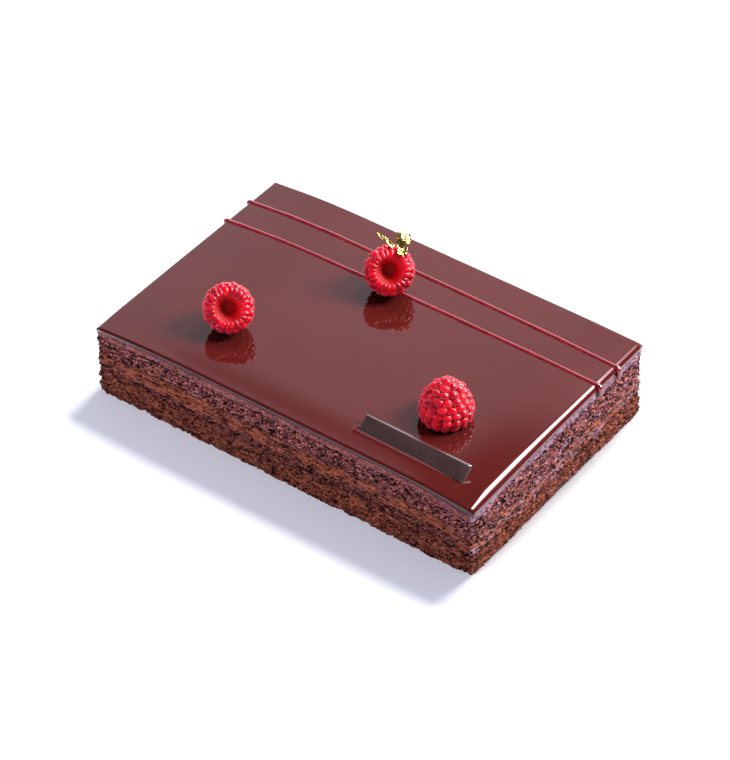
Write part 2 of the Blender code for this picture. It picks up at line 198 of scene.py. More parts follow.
class Value:
    """A number or vector in a node tree. Sums with it become nodes."""

    def __init__(self, socket):
        self.socket, self.tree = socket, socket.id_data

    def reckoned(self, operation, *terms):
        return got(self.tree, "ShaderNodeMath", *enumerate(terms), operation=operation)

    def __add__(self, other):
        return self.reckoned("ADD", self, other)

    def __sub__(self, other):
        return self.reckoned("SUBTRACT", self, other)

    def __rsub__(self, other):
        return self.reckoned("SUBTRACT", other, self)

    def __mul__(self, other):
        return self.reckoned("MULTIPLY", self, other)

    def __rtruediv__(self, other):
        return self.reckoned("DIVIDE", other, self)

    def __pow__(self, other):
        return self.reckoned("POWER", self, other)

    def __abs__(self):
        return self.reckoned("ABSOLUTE", self)


def wire(node, *wires):
    """Links or sets each named or numbered input of a node."""
    for key, value in wires:
        if isinstance(value, Value):
            node.id_data.links.new(value.socket, node.inputs[key])
        else:
            node.inputs[key].default_value = value


def put(tree, kind, *wires, **settings):
    """A new node. Its settings come first, because they change its inputs."""
    made = tree.nodes.new(kind)
    for name, value in settings.items():
        setattr(made, name, value)
    wire(made, *wires)
    return made


def got(tree, kind, *wires, output=0, **settings):
    """What a new node puts out."""
    return Value(put(tree, kind, *wires, **settings).outputs[output])


def vectors(operation, first, second):
    return got(first.tree, "ShaderNodeVectorMath", (0, first), (1, second), operation=operation)


def scaled(vector, factor):
    return got(vector.tree, "ShaderNodeVectorMath", (0, vector), ("Scale", factor), operation="SCALE")


def clouds(place, scale, detail, output=0):
    """Soft noise, 0.5 on average."""
    wires = ("Vector", place), ("Scale", scale), ("Detail", detail)
    return got(place.tree, "ShaderNodeTexNoise", *wires, output=output)


def between(value, low, high, smooth=True):
    """0 below low, 1 above high."""
    wires = ("Value", value), ("From Min", low), ("From Max", high)
    kind = "SMOOTHSTEP" if smooth else "LINEAR"
    return got(value.tree, "ShaderNodeMapRange", *wires, interpolation_type=kind)


def ranged(value, low, high):
    """Low at 0, high at 1."""
    return got(value.tree, "ShaderNodeMapRange", ("Value", value), ("To Min", low), ("To Max", high))


def blend(factor, low, high, kind="RGBA"):
    """From low to high, as colours or, with FLOAT, as numbers."""
    first, output = {"RGBA": (6, 2), "FLOAT": (2, 0)}[kind]
    wires = ("Factor", factor), (first, low), (first + 1, high)
    return got(factor.tree, "ShaderNodeMix", *wires, output=output, data_type=kind)


def flattened(place, flatness):
    """A place on which patterns lie that much flatter."""
    stretch = got(place.tree, "ShaderNodeCombineXYZ", (0, 1.0), (1, 1.0), (2, flatness))
    return vectors("MULTIPLY", place, stretch)


def named(tree, label, kind="FLOAT_VECTOR"):
    return got(tree, "GeometryNodeInputNamedAttribute", ("Name", label), data_type=kind)


def spot(tree):
    return got(tree, "GeometryNodeInputPosition")


def shifted(geometry, offset):
    return got(geometry.tree, "GeometryNodeSetPosition", ("Geometry", geometry), ("Offset", offset))


def marked(geometry, label, value):
    """Keeps a value for each point under a name."""
    wires = ("Geometry", geometry), ("Name", label), ("Value", value)
    return got(geometry.tree, "GeometryNodeStoreNamedAttribute", *wires)


def smoothed(geometry):
    return got(geometry.tree, "GeometryNodeSetShadeSmooth", ("Geometry", geometry))


def new_tree(name, kind, inputs, outputs):
    """A tree with these named inputs and outputs, as (tree, its inputs by name, its end)."""
    tree = bpy.data.node_groups.new(name, kind)
    for way, sockets in (("INPUT", inputs), ("OUTPUT", outputs)):
        for label, sort in sockets:
            tree.interface.new_socket(label, in_out=way, socket_type="NodeSocket" + sort)
    given = {socket.name: Value(socket) for socket in tree.nodes.new("NodeGroupInput").outputs}
    return tree, given, tree.nodes.new("NodeGroupOutput")


def shaping_tree(name, **inputs):
    """A Geometry Nodes tree with a geometry in and out."""
    geometry = [("Geometry", "Geometry")]
    named_inputs = [(label.replace("_", " "), kind) for label, kind in inputs.items()]
    return new_tree(name, "GeometryNodeTree", geometry + named_inputs, geometry)


def grow(made, tree, **values):
    """The plain mesh that a tree with these inputs makes of an object."""
    modifier = made.modifiers.new(tree.name, "NODES")
    modifier.node_group = tree
    for item in tree.interface.items_tree:
        label = item.name.replace(" ", "_")
        if item.in_out == "INPUT" and label in values:
            modifier[item.identifier] = values[label]
    bpy.context.view_layer.update()
    mesh = bpy.data.meshes.new_from_object(made.evaluated_get(bpy.context.evaluated_depsgraph_get()))
    made.modifiers.remove(modifier)
    return mesh


def tearing_tree():
    """Tears a cut side: broad crags, crumbs of two sizes, steep pores and long cracks, all along "out"."""
    tree, given, result = shaping_tree("torn side", **dict.fromkeys((*sponge_tear, "Seed"), "Float"))
    place = spot(tree)
    moved = vectors("ADD", flattened(place, given["Flatness"]), given["Seed"])
    lying = vectors("MULTIPLY", vectors("ADD", place, given["Seed"]), (1, 1, 4))

    def spots(size, where=moved):
        return scaled(where, 1.0 / size)

    def cloud(size, detail, scale=1.0, where=moved):
        return clouds(spots(size, where), scale, detail)

    def crumbs(size, scale):
        bend = scaled(clouds(spots(size), 0.6 * scale, 2.0, "Color"), 1.3 / scale)
        where = vectors("ADD", spots(size), bend)
        return 0.5 - got(tree, "ShaderNodeTexVoronoi", ("Vector", where), ("Scale", scale), output="Distance")

    crag = (cloud(given["Crag Size"], 4.0) - 0.5) * given["Crag Height"]
    coarse = between(cloud(given["Crag Size"], 1.0, 0.8), 0.44, 0.58)
    fine_crumb, coarse_crumb = (crumbs(given["Crumb Size"], scale) for scale in (1.5, 0.7))
    crumb = blend(coarse, fine_crumb * 0.6, coarse_crumb, "FLOAT") * given["Crumb Height"]
    pore = between(cloud(given["Pore Size"], 2.0) - (0.75 - given["Pore Share"] * 0.5), 0.0, 0.05)
    vein = abs(cloud(given["Crack Length"], 3.0, 1.0, lying) - 0.5)
    other_vein = abs(cloud(given["Crack Length"], 3.0, 1.7, lying) - 0.46)
    nearest = vein.reckoned("MINIMUM", vein, other_vein)
    broken = between(cloud(given["Crack Length"], 1.0, 2.4), 0.38, 0.5)
    crack = (1.0 - between(nearest, 0.006, 0.034)) * broken
    groove = between(abs(named(tree, "share", "FLOAT") - 0.5), 0.4, 0.5)
    sunk = pore * given["Pore Depth"] + crack * given["Crack Depth"] + groove * given["Joint Groove"]
    total = crag + crumb - sunk
    torn = shifted(given["Geometry"], scaled(named(tree, "out"), total + given["Rise"]))
    wire(result, (0, smoothed(marked(torn, "relief", (total - crag * 0.6) * 1000.0))))
    return tree


def object_place(tree):
    return got(tree, "ShaderNodeTexCoord", output="Object")


def surface_value(tree, label, output="Fac"):
    """A value that the mesh keeps for its points."""
    return got(tree, "ShaderNodeAttribute", output=output, attribute_name=label)


def crumbly_group():
    """Colours of a torn food surface: painted shade in hollows, its own colour in streaks with another,
    painted highlights on tips, painted sheen in smears on the right.
    """
    sizes = ("Streak Share", "Streak Size", "Smear Share", "Grain Size", "Grain Depth", "Flatness")
    inputs = [(label, "Color") for label in TORN_COLOURS] + [(label, "Float") for label in sizes]
    outputs = [("Color", "Color"), ("Height", "Float"), ("Roughness", "Float")]
    group, given, result = new_tree("crumbly colour", "ShaderNodeTree", inputs, outputs)
    place = object_place(group)
    flat_place = flattened(place, given["Flatness"])

    def grains(size, detail, stretch=(1.0, 1.0, 1.0)):
        return clouds(scaled(vectors("MULTIPLY", flat_place, stretch), 1.0 / size), 1.0, detail)

    def spots(cloud, share, blur, more=0.0):
        return between(cloud - (0.68 - share * 0.36) + more, -blur, blur)

    grain = grains(given["Grain Size"], 4.0)
    packed = scaled(flat_place, 1.0 / given["Grain Size"])
    cells = put(group, "ShaderNodeTexVoronoi", ("Vector", packed), ("Scale", 0.8)).outputs
    tone = got(group, "ShaderNodeSeparateColor", ("Color", Value(cells["Color"])))
    rough = grain - 0.5 + ((0.45 - Value(cells["Distance"])) * 0.7 + (tone - 0.5) * 0.35)
    height = surface_value(group, "relief") + rough * given["Grain Depth"]
    soaked = between(abs(surface_value(group, "share") - 0.5), 0.34, 0.46) * 0.09
    streaks = spots(grains(given["Streak Size"], 3.0, (1.0, 1.0, 1.6)), given["Streak Share"], 0.035, soaked)
    body = blend(streaks, given["Crumb"], given["Streak"])
    across = got(group, "ShaderNodeSeparateXYZ", (0, place))
    # Smears only on the right side, in a pale colour that is a painted sheen of the light falling there.
    on_right = between(across, LENGTH / 2 - 1.8 * MM, LENGTH / 2 - 1.0 * MM)
    sheen_smears = spots(grains(4.5 * MM, 3.0, (1.0, 0.4, 1.0)), given["Smear Share"], 0.04)
    body = blend(sheen_smears * on_right, body, given["Smear"])
    # Lighter tips are a painted highlight and dark hollows a painted shade, both read off the relief.
    tip_highlighted = blend(between(height, 0.35, 1.3), body, given["Tip"])
    shaded = blend(between(height, -1.0, 0.45, smooth=False), given["Hollow"], tip_highlighted)
    wire(result, ("Color", shaded), ("Height", grain), ("Roughness", between(grain, 0.2, 0.75)))
    return group


def screen(red, green, blue):
    """A linear colour from screen values of 0 to 255."""
    shares = [c / 255 for c in (red, green, blue)]
    return (*(c / 12.92 if c < 0.04 else ((c + 0.055) / 1.055) ** 2.4 for c in shares), 1.0)


def new_material(name):
    """A new material and its shader."""
    made = bpy.data.materials.new(name)
    made.use_nodes = True
    return made, made.node_tree.nodes["Principled BSDF"]


def bumps(height, strength, distance):
    wires = ("Height", height), ("Strength", strength), ("Distance", distance)
    return got(height.tree, "ShaderNodeBump", *wires)


def torn_material(name, colours, streak_share, streak_size, smear_share, grain, flatness, roughness, bump):
    """A material of sponge or ganache, its colours from the tearing of its surface, with painted shade and
    highlights among them.
    """
    made, shader = new_material(name)
    crumb = put(
        made.node_tree, "ShaderNodeGroup", *zip(TORN_COLOURS, [screen(*colour) for colour in colours]),
        ("Streak Share", streak_share), ("Streak Size", streak_size), ("Smear Share", smear_share),
        ("Grain Size", GRAIN_SIZE), ("Grain Depth", grain), ("Flatness", flatness), node_tree=crumbly)
    colour, height, gloss = (Value(socket) for socket in crumb.outputs)
    wire(
        shader, ("Base Color", colour), ("Roughness", ranged(gloss, *roughness)),
        ("Normal", bumps(height, bump, 0.3 * MM)), ("Specular IOR Level", 0.1), ("Subsurface Weight", 0.06),
        ("Subsurface Radius", (1.0, 0.4, 0.3)), ("Subsurface Scale", 0.8 * MM))
    return made


# Of these, the hollows' colour is painted shade, the tips' painted highlight and the smears' painted sheen.
TORN_COLOURS = ("Hollow", "Crumb", "Streak", "Tip", "Smear")
GRAIN_SIZE = 1.05 * MM
crumbly = crumbly_group()
# The materials' numbers: the torn colours (painted shade in the hollows, crumb, streak, painted highlight on
# the tips, painted sheen of the smears), the streaks' share and size, the sheen smears' share, the grain's
# depth and flatness, the roughness and the bump.
cocoa_crumb = torn_material(
    "soaked cocoa sponge", ((10, 2, 4), (158, 86, 72), (150, 90, 96), (214, 152, 138), (160, 116, 134)),
    0.5, 3.4 * MM, 0.3, 2.8, 2.8, (0.5, 0.95), 0.9)
dark_crumb = torn_material(
    "dark cocoa sponge", ((10, 2, 4), (120, 60, 50), (124, 68, 66), (184, 122, 102), (146, 106, 122)),
    0.45, 3.6 * MM, 0.25, 2.6, 3.0, (0.5, 0.95), 0.9)
brown_crumb = torn_material(
    "brown sponge", ((18, 5, 4), (142, 74, 54), (112, 58, 50), (178, 118, 92), (138, 92, 92)),
    0.5, 5.0 * MM, 0.12, 2.1, 2.6, (0.55, 0.95), 0.9)
pink_ganache = torn_material(
    "pink ganache", ((30, 8, 12), (164, 92, 78), (144, 92, 100), (188, 130, 120), (166, 132, 156)),
    0.45, 6.0 * MM, 0.8, 1.0, 3.4, (0.35, 0.7), 0.6)
orange_ganache = torn_material(
    "cocoa ganache", ((24, 8, 6), (160, 84, 58), (130, 72, 68), (178, 114, 92), (156, 118, 134)),
    0.4, 8.0 * MM, 0.4, 1.6, 4.6, (0.35, 0.7), 0.7)

sponge_tear = {
    "Rise": 0.7 * MM, "Crag_Size": 3.6 * MM, "Crag_Height": 2.4 * MM, "Crumb_Size": 1.1 * MM,
    "Crumb_Height": 1.3 * MM, "Pore_Size": 2.2 * MM, "Pore_Depth": 1.4 * MM, "Pore_Share": 0.34,
    "Crack_Length": 12 * MM, "Crack_Depth": 0.9 * MM, "Flatness": 2.6, "Joint_Groove": 0.3 * MM,
}
base_tear = {
    **sponge_tear, "Crag_Height": 1.8 * MM, "Crumb_Height": 0.9 * MM, "Pore_Share": 0.18,
    "Crack_Depth": 1.0 * MM, "Flatness": 2.2, "Joint_Groove": 0.0,
}
ganache_tear = {
    "Rise": 0.6 * MM, "Crag_Size": 5.0 * MM, "Crag_Height": 1.7 * MM, "Crumb_Size": 1.1 * MM,
    "Crumb_Height": 0.7 * MM, "Pore_Size": 2.4 * MM, "Pore_Depth": 0.8 * MM, "Pore_Share": 0.14,
    "Crack_Length": 11 * MM, "Crack_Depth": 1.3 * MM, "Flatness": 3.6, "Joint_Groove": 0.1 * MM,
}
top_tear = {
    **ganache_tear, "Rise": 0.3 * MM, "Crag_Height": 0.9 * MM, "Pore_Size": 1.5 * MM, "Pore_Share": 0.3,
    "Crack_Depth": 0.6 * MM,
}
tearing = tearing_tree()
layer_looks = {
    "base_sponge": (base_tear, brown_crumb, "brown_sponge"),
    "lower_sponge": (sponge_tear, dark_crumb, "cocoa_sponge"),
    "middle_ganache": (ganache_tear, orange_ganache, "ganache"),
    "upper_sponge": (sponge_tear, cocoa_crumb, "cocoa_sponge"),
    "top_ganache": (top_tear, pink_ganache, "ganache"),
}
layers = {}
for index, name in enumerate(LAYERS):
    tear, look, slot = layer_looks[name]
    skin = layer_skin(name, index)
    skin.data = grow(skin, tearing, Seed=0.31 * (index + 1), **tear)
    skin.data.materials.append(look)
    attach(skin, "root")
    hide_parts(name)
    layers[name] = skin

# Loose crumbs cling to the torn sponge and ganache where the knife has dragged them along. They are bits of
# the same sponge, under a millimetre across, pressed a little into the side.
CRUMB_SUBDIVISIONS = 2
CRUMB_DENT = 0.5 * MM


def finish_tree(result, geometry, given):
    """Ends a tree with its material, and gives it back."""
    wires = ("Geometry", geometry), ("Material", given["Material"])
    wire(result, (0, got(geometry.tree, "GeometryNodeSetMaterial", *wires)))
    return geometry.tree


def crumb_tree():
    """Scatters crumbs over the sides of a layer, each turned, stretched and dented on its own."""
    tree, given, result = shaping_tree(
        "clinging crumbs", Density="Float", Least_Size="Float", Largest_Size="Float", Seed="Int",
        Material="Material")
    length = got(tree, "ShaderNodeVectorMath", (0, named(tree, "out")), output="Value", operation="LENGTH")
    on_side = length.reckoned("GREATER_THAN", length, 0.9)
    spread = got(
        tree, "GeometryNodeDistributePointsOnFaces", ("Mesh", given["Geometry"]), ("Selection", on_side),
        ("Density", given["Density"]), ("Seed", given["Seed"]), output="Points")
    ball = got(tree, "GeometryNodeMeshIcoSphere", ("Radius", 0.5), ("Subdivisions", CRUMB_SUBDIVISIONS))
    wires = ("Max", (6.3, 6.3, 6.3)), ("Seed", given["Seed"])
    turn = got(tree, "FunctionNodeRandomValue", *wires, data_type="FLOAT_VECTOR")
    chance = got(tree, "FunctionNodeRandomValue", output=1, data_type="FLOAT")
    size = given["Least Size"] + chance**2.2 * (given["Largest Size"] - given["Least Size"])
    shape = got(
        tree, "FunctionNodeRandomValue", ("Min", (0.65, 0.65, 0.5)), ("Max", (1.2, 1.0, 0.95)),
        ("ID", got(tree, "GeometryNodeInputIndex")), data_type="FLOAT_VECTOR")
    crumbs = got(
        tree, "GeometryNodeInstanceOnPoints", ("Points", spread), ("Instance", ball), ("Rotation", turn),
        ("Scale", scaled(shape, size)))
    crumbs = got(tree, "GeometryNodeRealizeInstances", (0, crumbs))
    off = vectors("SUBTRACT", clouds(spot(tree), 1400.0, 1.0, "Color"), (0.5, 0.5, 0.5))
    crumbs = shifted(crumbs, scaled(off, CRUMB_DENT))
    crumbs = marked(crumbs, "relief", (clouds(spot(tree), 1400.0, 1.0) - 0.35) * 1.6)
    return finish_tree(result, crumbs, given)


crumbs = crumb_tree()
golden_crumb = torn_material(
    "loose crumbs", ((30, 12, 8), (146, 76, 50), (112, 60, 54), (182, 118, 86), (160, 112, 112)),
    0.5, 1.0 * MM, 0.3, 1.0, 1.0, (0.6, 0.95), 0.8)
scatters = (
    ("base_crumbs", "base_sponge", golden_crumb, "brown_sponge", 95e3, 0.35 * MM, 1.25 * MM),
    ("lower_crumbs", "lower_sponge", brown_crumb, "cocoa_sponge", 80e3, 0.35 * MM, 1.1 * MM),
    ("upper_crumbs", "upper_sponge", cocoa_crumb, "cocoa_sponge", 95e3, 0.35 * MM, 1.2 * MM),
    ("ganache_crumbs", "middle_ganache", golden_crumb, "brown_sponge", 25e3, 0.3 * MM, 0.8 * MM),
)
for seed, (name, layer, look, slot, density, least, largest) in enumerate(scatters):
    crumbed = placed(name, layers[layer].data.copy())
    crumbed.data = grow(
        crumbed, crumbs, Density=density, Least_Size=least, Largest_Size=largest, Seed=seed, Material=look)
    for vert in crumbed.data.vertices:
        vert.co.z = max(vert.co.z, 0.0)
    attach(crumbed, "root")
    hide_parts(layer)

# The mirror glaze is poured over the cold block and sets as one glossy skin about 3 mm thick, which rounds
# over the edges and runs down a little towards the corners. It is cut off flush with the sides.
CROWN_TOP = 36.8 * MM
LEFT_FALL, LEFT_FALL_REACH = 2.2 * MM, 50 * MM
CORNER_REACH = (12 * MM, 30 * MM)
CORNER_FALLS = ((1, -1, 1.7 * MM), (1, 1, 0.5 * MM), (-1, 1, 0.6 * MM))
EDGE_STEPS = 20
LEFT_EDGE = (1.6 * MM, 1.0 * MM)  # width and drop of each rounded edge
FRONT_EDGE = (1.2 * MM, 0.7 * MM)
BACK_EDGE = (1.2 * MM, 0.8 * MM)
FINE_GRID, COARSE_GRID = 0.5 * MM, 1.5 * MM
FINE_FROM_X, FINE_TO_Y = 26 * MM, -44 * MM  # the fine grid lies round the plaque and along the right edge
RIGHT_WIDTHS = ((-1.0, 2.2 * MM), (-0.8, 3.8 * MM), (-0.45, 3.9 * MM), (0.1, 3.0 * MM), (1.0, 2.4 * MM))
RIGHT_SLOPE, RIGHT_BEND, RIGHT_DROP = 0.42, 0.95 * MM, 1.0 * MM  # where the strip ends; width and drop beyond
FRONT_FALL, FRONT_FALL_REACH = 0.4 * MM, 9 * MM
LEAST_SIDE = 0.25 * MM
GLAZE_UNDERCUT = 0.4 * MM
SWELL_HEIGHT, SWELL_WIDTH, SWELL_AWAY = 0.14 * MM, 0.9 * MM, 0.8 * MM
PLAQUE_SIZE = (51.5 * MM, 8.8 * MM, 1.5 * MM)
PLAQUE_FOOT = (57.1 * MM, -51.0 * MM)
PLAQUE_TURN, PLAQUE_LEAN = math.radians(-0.7), math.radians(40)
PLAQUE_SUNK = 1.2 * MM


def glaze_level(x, y):
    """Height of the glaze's top, for numbers or arrays, before it swells round the plaque."""
    to_left = np.maximum(0.0, LEFT_FALL_REACH - LENGTH / 2 - x) / LEFT_FALL_REACH
    fall = LEFT_FALL * to_left**2
    for sx, sy, depth in CORNER_FALLS:
        across = (x - sx * LENGTH / 2) / CORNER_REACH[0]
        along = (y - sy * WIDTH / 2) / CORNER_REACH[1]
        fall = fall + depth * np.exp(-0.5 * (across**2 + along**2))
    from_front = (y + WIDTH / 2) / FRONT_FALL_REACH
    return CROWN_TOP - fall - FRONT_FALL * np.exp(-(from_front**2))


def plaque_swell(x, y):
    """The glaze is pushed up into a low ridge before the plaque's foot and round its left end; it fades out
    at the right end.
    """
    turned = complex(math.cos(-PLAQUE_TURN), math.sin(-PLAQUE_TURN))
    along = (x - PLAQUE_FOOT[0]) * turned.real - (y - PLAQUE_FOOT[1]) * turned.imag
    across = (x - PLAQUE_FOOT[0]) * turned.imag + (y - PLAQUE_FOOT[1]) * turned.real
    beside = np.maximum(np.abs(along) - PLAQUE_SIZE[0] / 2, 0.0)
    before = np.maximum(-across, 0.0)
    behind = np.maximum(across - 1.5 * MM, 0.0)
    far = np.sqrt(beside**2 + before**2 + (2 * behind) ** 2)
    fading = np.clip((PLAQUE_SIZE[0] / 2 - along) / (6 * MM), 0.0, 1.0)
    return SWELL_HEIGHT * fading * np.exp(-(((far - SWELL_AWAY) / SWELL_WIDTH) ** 2))


def swollen_level(x, y):
    return glaze_level(x, y) + plaque_swell(x, y)


def spaced(*stretches):
    """Increasing places from stretches of (start, end, step)."""
    places = []
    for start, end, step in stretches:
        places.extend(np.linspace(start, end, max(2, round((end - start) / step) + 1))[:-1])
    return np.array(places + [end])


def right_profile(t, width, sag, drop):
    """Way out and down along the right edge: a sagging strip, then a bend and a steep side."""
    bend, turns_at = 0.62, 0.85
    if t < bend:
        return (width - RIGHT_BEND) * t / bend, sag * (t / bend) ** 2
    share = (t - bend) / (1 - bend)
    beyond = 1 - (1 - min(share / turns_at, 1.0)) ** 1.2
    return width - RIGHT_BEND * (1 - beyond), sag + (drop - sag) * share


def glaze_skin():
    """The glaze as a grid on top, a rounded edge, a short side and a floor, all closed."""
    strip_shares, strip_widths = zip(*RIGHT_WIDTHS)
    left, right = -LENGTH / 2 + LEFT_EDGE[0], LENGTH / 2 - max(strip_widths)
    front, back = -WIDTH / 2 + FRONT_EDGE[0], WIDTH / 2 - BACK_EDGE[0]
    xs = spaced((left, FINE_FROM_X, COARSE_GRID), (FINE_FROM_X, right, FINE_GRID))
    ys = spaced((front, FINE_TO_Y, FINE_GRID), (FINE_TO_Y, back, COARSE_GRID))
    grid_x, grid_y = np.meshgrid(xs, ys)
    grid_x[:, -1] = LENGTH / 2 - np.interp(grid_y[:, -1] / (WIDTH / 2), strip_shares, strip_widths)
    grid_x[:, -2] = (grid_x[:, -1] + grid_x[:, -3]) / 2
    grid = np.stack((grid_x, grid_y, swollen_level(grid_x, grid_y)), axis=-1)
    wide, deep = len(xs), len(ys)
    index = np.arange(wide * deep).reshape(deep, wide)
    border = np.concatenate((index[0, :-1], index[:-1, -1], index[-1, :0:-1], index[:0:-1, 0]))
    spots = grid.reshape(-1, 3)[border, :2]
    on_left = spots[:, 0] < left + 1e-9
    on_front, on_back = spots[:, 1] < front + 1e-9, spots[:, 1] > back - 1e-9
    on_right = np.zeros(len(border), bool)
    on_right[wide - 1: wide + deep - 1] = True
    widths = np.column_stack((
        on_right * (LENGTH / 2 - spots[:, 0]) - on_left * LEFT_EDGE[0],
        on_back * BACK_EDGE[0] - on_front * FRONT_EDGE[0]))
    outs = np.sign(widths)
    surface = solid_surface("glaze")
    ends = spots + widths
    floor_level = np.array([
        surface.ray_cast(Vector((*(end - out * INSIDE), 0)), Vector((0, 0, 1)))[0].z
        for end, out in zip(ends, outs)
    ])
    floor_level -= JOINT_GAP / 2
    width_here = LENGTH / 2 - spots[:, 0]
    drop = np.where(on_back, BACK_EDGE[1], np.where(on_left, LEFT_EDGE[1], FRONT_EDGE[1]))
    sagging = 0.5 * RIGHT_SLOPE * (width_here - RIGHT_BEND)
    drop = np.where(on_right, sagging + RIGHT_DROP, drop)
    drop = np.minimum(drop, glaze_level(ends[:, 0], ends[:, 1]) - floor_level - LEAST_SIDE)
    rings = []
    for k in range(1, EDGE_STEPS + 1):
        angle = math.pi / 2 * k / EDGE_STEPS
        out_share, down = np.full(len(spots), math.sin(angle)), drop * (1 - math.cos(angle))
        for i in np.nonzero(on_right)[0]:
            sag = min(sagging[i], 0.8 * drop[i])
            way_out, down[i] = right_profile(k / EDGE_STEPS, width_here[i], sag, drop[i])
            out_share[i] = way_out / width_here[i]
        place = spots + widths * out_share[:, None]
        rings.append(np.column_stack((place, swollen_level(*place.T) - down)))
    edge = rings[-1]
    for share, inward in ((0.8, 0.0), (0.93, 0.08 * MM), (1.0, GLAZE_UNDERCUT)):
        place = edge[:, :2] - outs * inward
        rings.append(np.column_stack((place, edge[:, 2] + (floor_level - edge[:, 2]) * share)))
    points = np.concatenate([grid.reshape(-1, 3)] + rings)
    faces = []
    for j in range(deep - 1):
        for i in range(wide - 1):
            faces.append((index[j, i], index[j, i + 1], index[j + 1, i + 1], index[j + 1, i]))
    around = len(border)
    starts = [border] + [wide * deep + around * k + np.arange(around) for k in range(len(rings))]
    for upper, lower in zip(starts, starts[1:]):
        for k in range(around):
            after = (k + 1) % around
            faces.append((upper[k], lower[k], lower[after], upper[after]))
    flat_ring = [Vector(place) for place in rings[-1][:, :2]]
    ring_edges = [(k, (k + 1) % around) for k in range(around)]
    for a, b, c in delaunay_2d_cdt(flat_ring, ring_edges, [], 1, 1e-9)[2]:
        faces.append((starts[-1][c], starts[-1][b], starts[-1][a]))
    mesh = mesh_of("glaze_skin", points, faces)
    mesh.shade_smooth()
    return placed("glaze_skin", mesh)


def two_tone_material(name, dark, light, patterns, gloss, bump, *constants):
    """A smooth finish. Its three patterns of (scale, detail) are its tones, its gloss and its ripples."""
    made, shader = new_material(name)
    place = object_place(made.node_tree)
    tones, haze, ripples = (clouds(place, *pattern) for pattern in patterns)
    wire(
        shader, ("Base Color", blend(between(tones, 0.3, 0.7), screen(*dark), screen(*light))),
        ("Roughness", ranged(haze, *gloss)), ("Normal", bumps(ripples, *bump)), *constants)
    return made


glaze = glaze_skin()
glaze.data.materials.append(two_tone_material(
    "mirror glaze", (61, 16, 14), (65, 18, 16), ((22.0, 3.0), (60.0, 4.0), (90.0, 2.0)), (0.04, 0.1),
    (0.25, 0.06 * MM), ("IOR", 1.5), ("Specular Tint", (1.0, 0.56, 0.63, 1.0)), ("Coat Weight", 0.3),
    ("Coat Roughness", 0.04)))
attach(glaze, "root")
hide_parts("glaze")

# Two lines of raspberry glaze are piped across the set top from one short edge to the other. They hang over
# both edges: a short drop on the left and a longer one on the right.
LINE_RADIUS = 1.3 * MM
LINE_SINK = 0.6 * MM
LINE_HANG = 0.7 * MM
LINE_SHOULDER = 0.35 * MM
LINE_DROP_LEFT, LINE_DROP_RIGHT = 2.0 * MM, 4.6 * MM
LINE_SPANS = 60
LINE_WAVER, LINE_WAVER_LENGTH = 0.12 * MM, 14 * MM
LINE_LEVEL_TO = 1.7 * MM  # from the cake's ends
LINE_CLOUDS = (260.0, 3.0)
LINES = (("front_line", 27.0 * MM, 28.4 * MM, 0.9 * MM), ("back_line", 43.2 * MM, 42.4 * MM, 0.9 * MM))


def line_tree():
    """A piped line along a curve: even steps, a thickness that swells and thins, and rounded ends."""
    tree, given, result = shaping_tree("piped line", Radius="Float", Material="Material")
    wires = ("Curve", given["Geometry"]), ("Length", 0.45 * MM)
    even = got(tree, "GeometryNodeResampleCurve", *wires, mode="LENGTH")
    thick = ranged(clouds(spot(tree), 120.0, 1.0), 0.86, 1.14)
    from_end = 0.5 - abs(got(tree, "GeometryNodeSplineParameter", output="Factor") - 0.5)
    closing = between(from_end, -0.0006, 0.006, smooth=False)
    radius = thick * closing.reckoned("SQRT", closing) * given["Radius"]
    ring = got(tree, "GeometryNodeCurvePrimitiveCircle", ("Resolution", 12), ("Radius", 1.0))
    wires = ("Curve", even), ("Profile Curve", ring), ("Fill Caps", True), ("Scale", radius)
    return finish_tree(result, smoothed(got(tree, "GeometryNodeCurveToMesh", *wires)), given)


def line_route(left_y, right_y, bow):
    """The piped line's middle from its left end over the top to its right end."""
    half = LENGTH / 2
    shoulder = half - LINE_LEVEL_TO
    left_top, right_top = glaze_level(-half, left_y), glaze_level(half, right_y)
    route = [
        (-half - LINE_HANG, left_y, left_top - LINE_DROP_LEFT),
        (-half - LINE_SINK, left_y, left_top - 1.0 * MM),
        (-half + LINE_SHOULDER, left_y, left_top - 0.3 * MM),
    ]
    for k in range(LINE_SPANS + 1):
        share = k / LINE_SPANS
        x = -shoulder + 2 * shoulder * share
        y = left_y + (right_y - left_y) * share + bow * math.sin(math.pi * share)
        y += LINE_WAVER * noise.noise(Vector((x, left_y, 0)) / LINE_WAVER_LENGTH)
        route.append((x, y, glaze_level(x, y) - LINE_SINK))
    return route + [
        (half - LINE_SHOULDER, right_y, right_top - 0.3 * MM),
        (half + LINE_SINK, right_y, right_top - 1.0 * MM),
        (half + LINE_HANG, right_y, right_top - 2.2 * MM),
        (half + LINE_HANG, right_y - 0.4 * MM, right_top - LINE_DROP_RIGHT),
    ]


